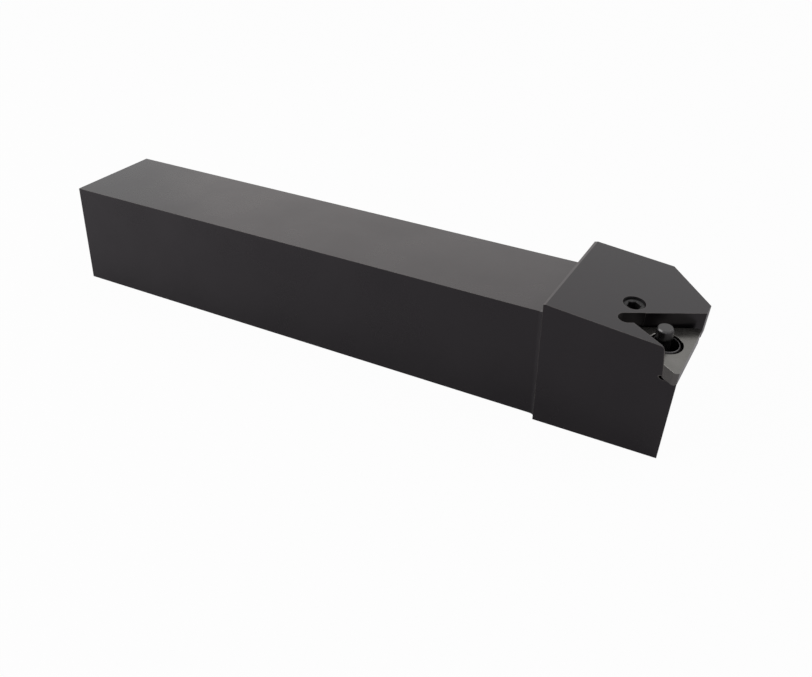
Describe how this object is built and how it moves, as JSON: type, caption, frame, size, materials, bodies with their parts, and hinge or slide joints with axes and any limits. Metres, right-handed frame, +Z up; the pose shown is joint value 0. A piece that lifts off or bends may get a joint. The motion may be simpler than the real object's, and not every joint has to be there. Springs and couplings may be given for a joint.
{
  "type": "turning tool holder",
  "caption": "Square-shank lathe tool holder with a tilted pocket for a triangular insert, which a lever drawn by a screw clamps against the pocket's walls.",
  "frame": {"origin": "rear end face of the shank, at the middle of its width and on the level of its base", "axes": "+X along the shank towards the head, +Z up from the base to the shank's top, -Y the side of the cutting nose"},
  "size_m": [0.2496, 0.0488, 0.0478],
  "materials": {
    "oxide_steel": "dark grey oxide, satin, milled",
    "shim_steel": "ground, bare",
    "pin_steel": "dark, turned",
    "lever_steel": "dark, turned, lightly worn",
    "screw_steel": "blackened"
  },
  "bodies": {
    "holder": {"holder_body": "oxide_steel", "shim": "shim_steel", "shim_pin": "pin_steel"},
    "lever": {"lever": "lever_steel"},
    "screw": {"clamp_screw": "screw_steel"}
  },
  "joints": [
    {"name": "screw_travel", "type": "slide", "parent": "holder", "child": "screw", "axis": [0.104, -0.1045, 0.9891], "range_m": [0, 0.002]},
    {"name": "lever_rock", "type": "hinge", "parent": "holder", "child": "lever", "pos_m": [0.24014, -0.01109, 0.02285], "axis": [0.4765, 0.8781, 0.0427], "range_deg": [0, 10]}
  ],
  "couplings": [
    {"joint": "lever_rock", "follows": "screw_travel", "rad_per_m": 85.837}
  ]
}
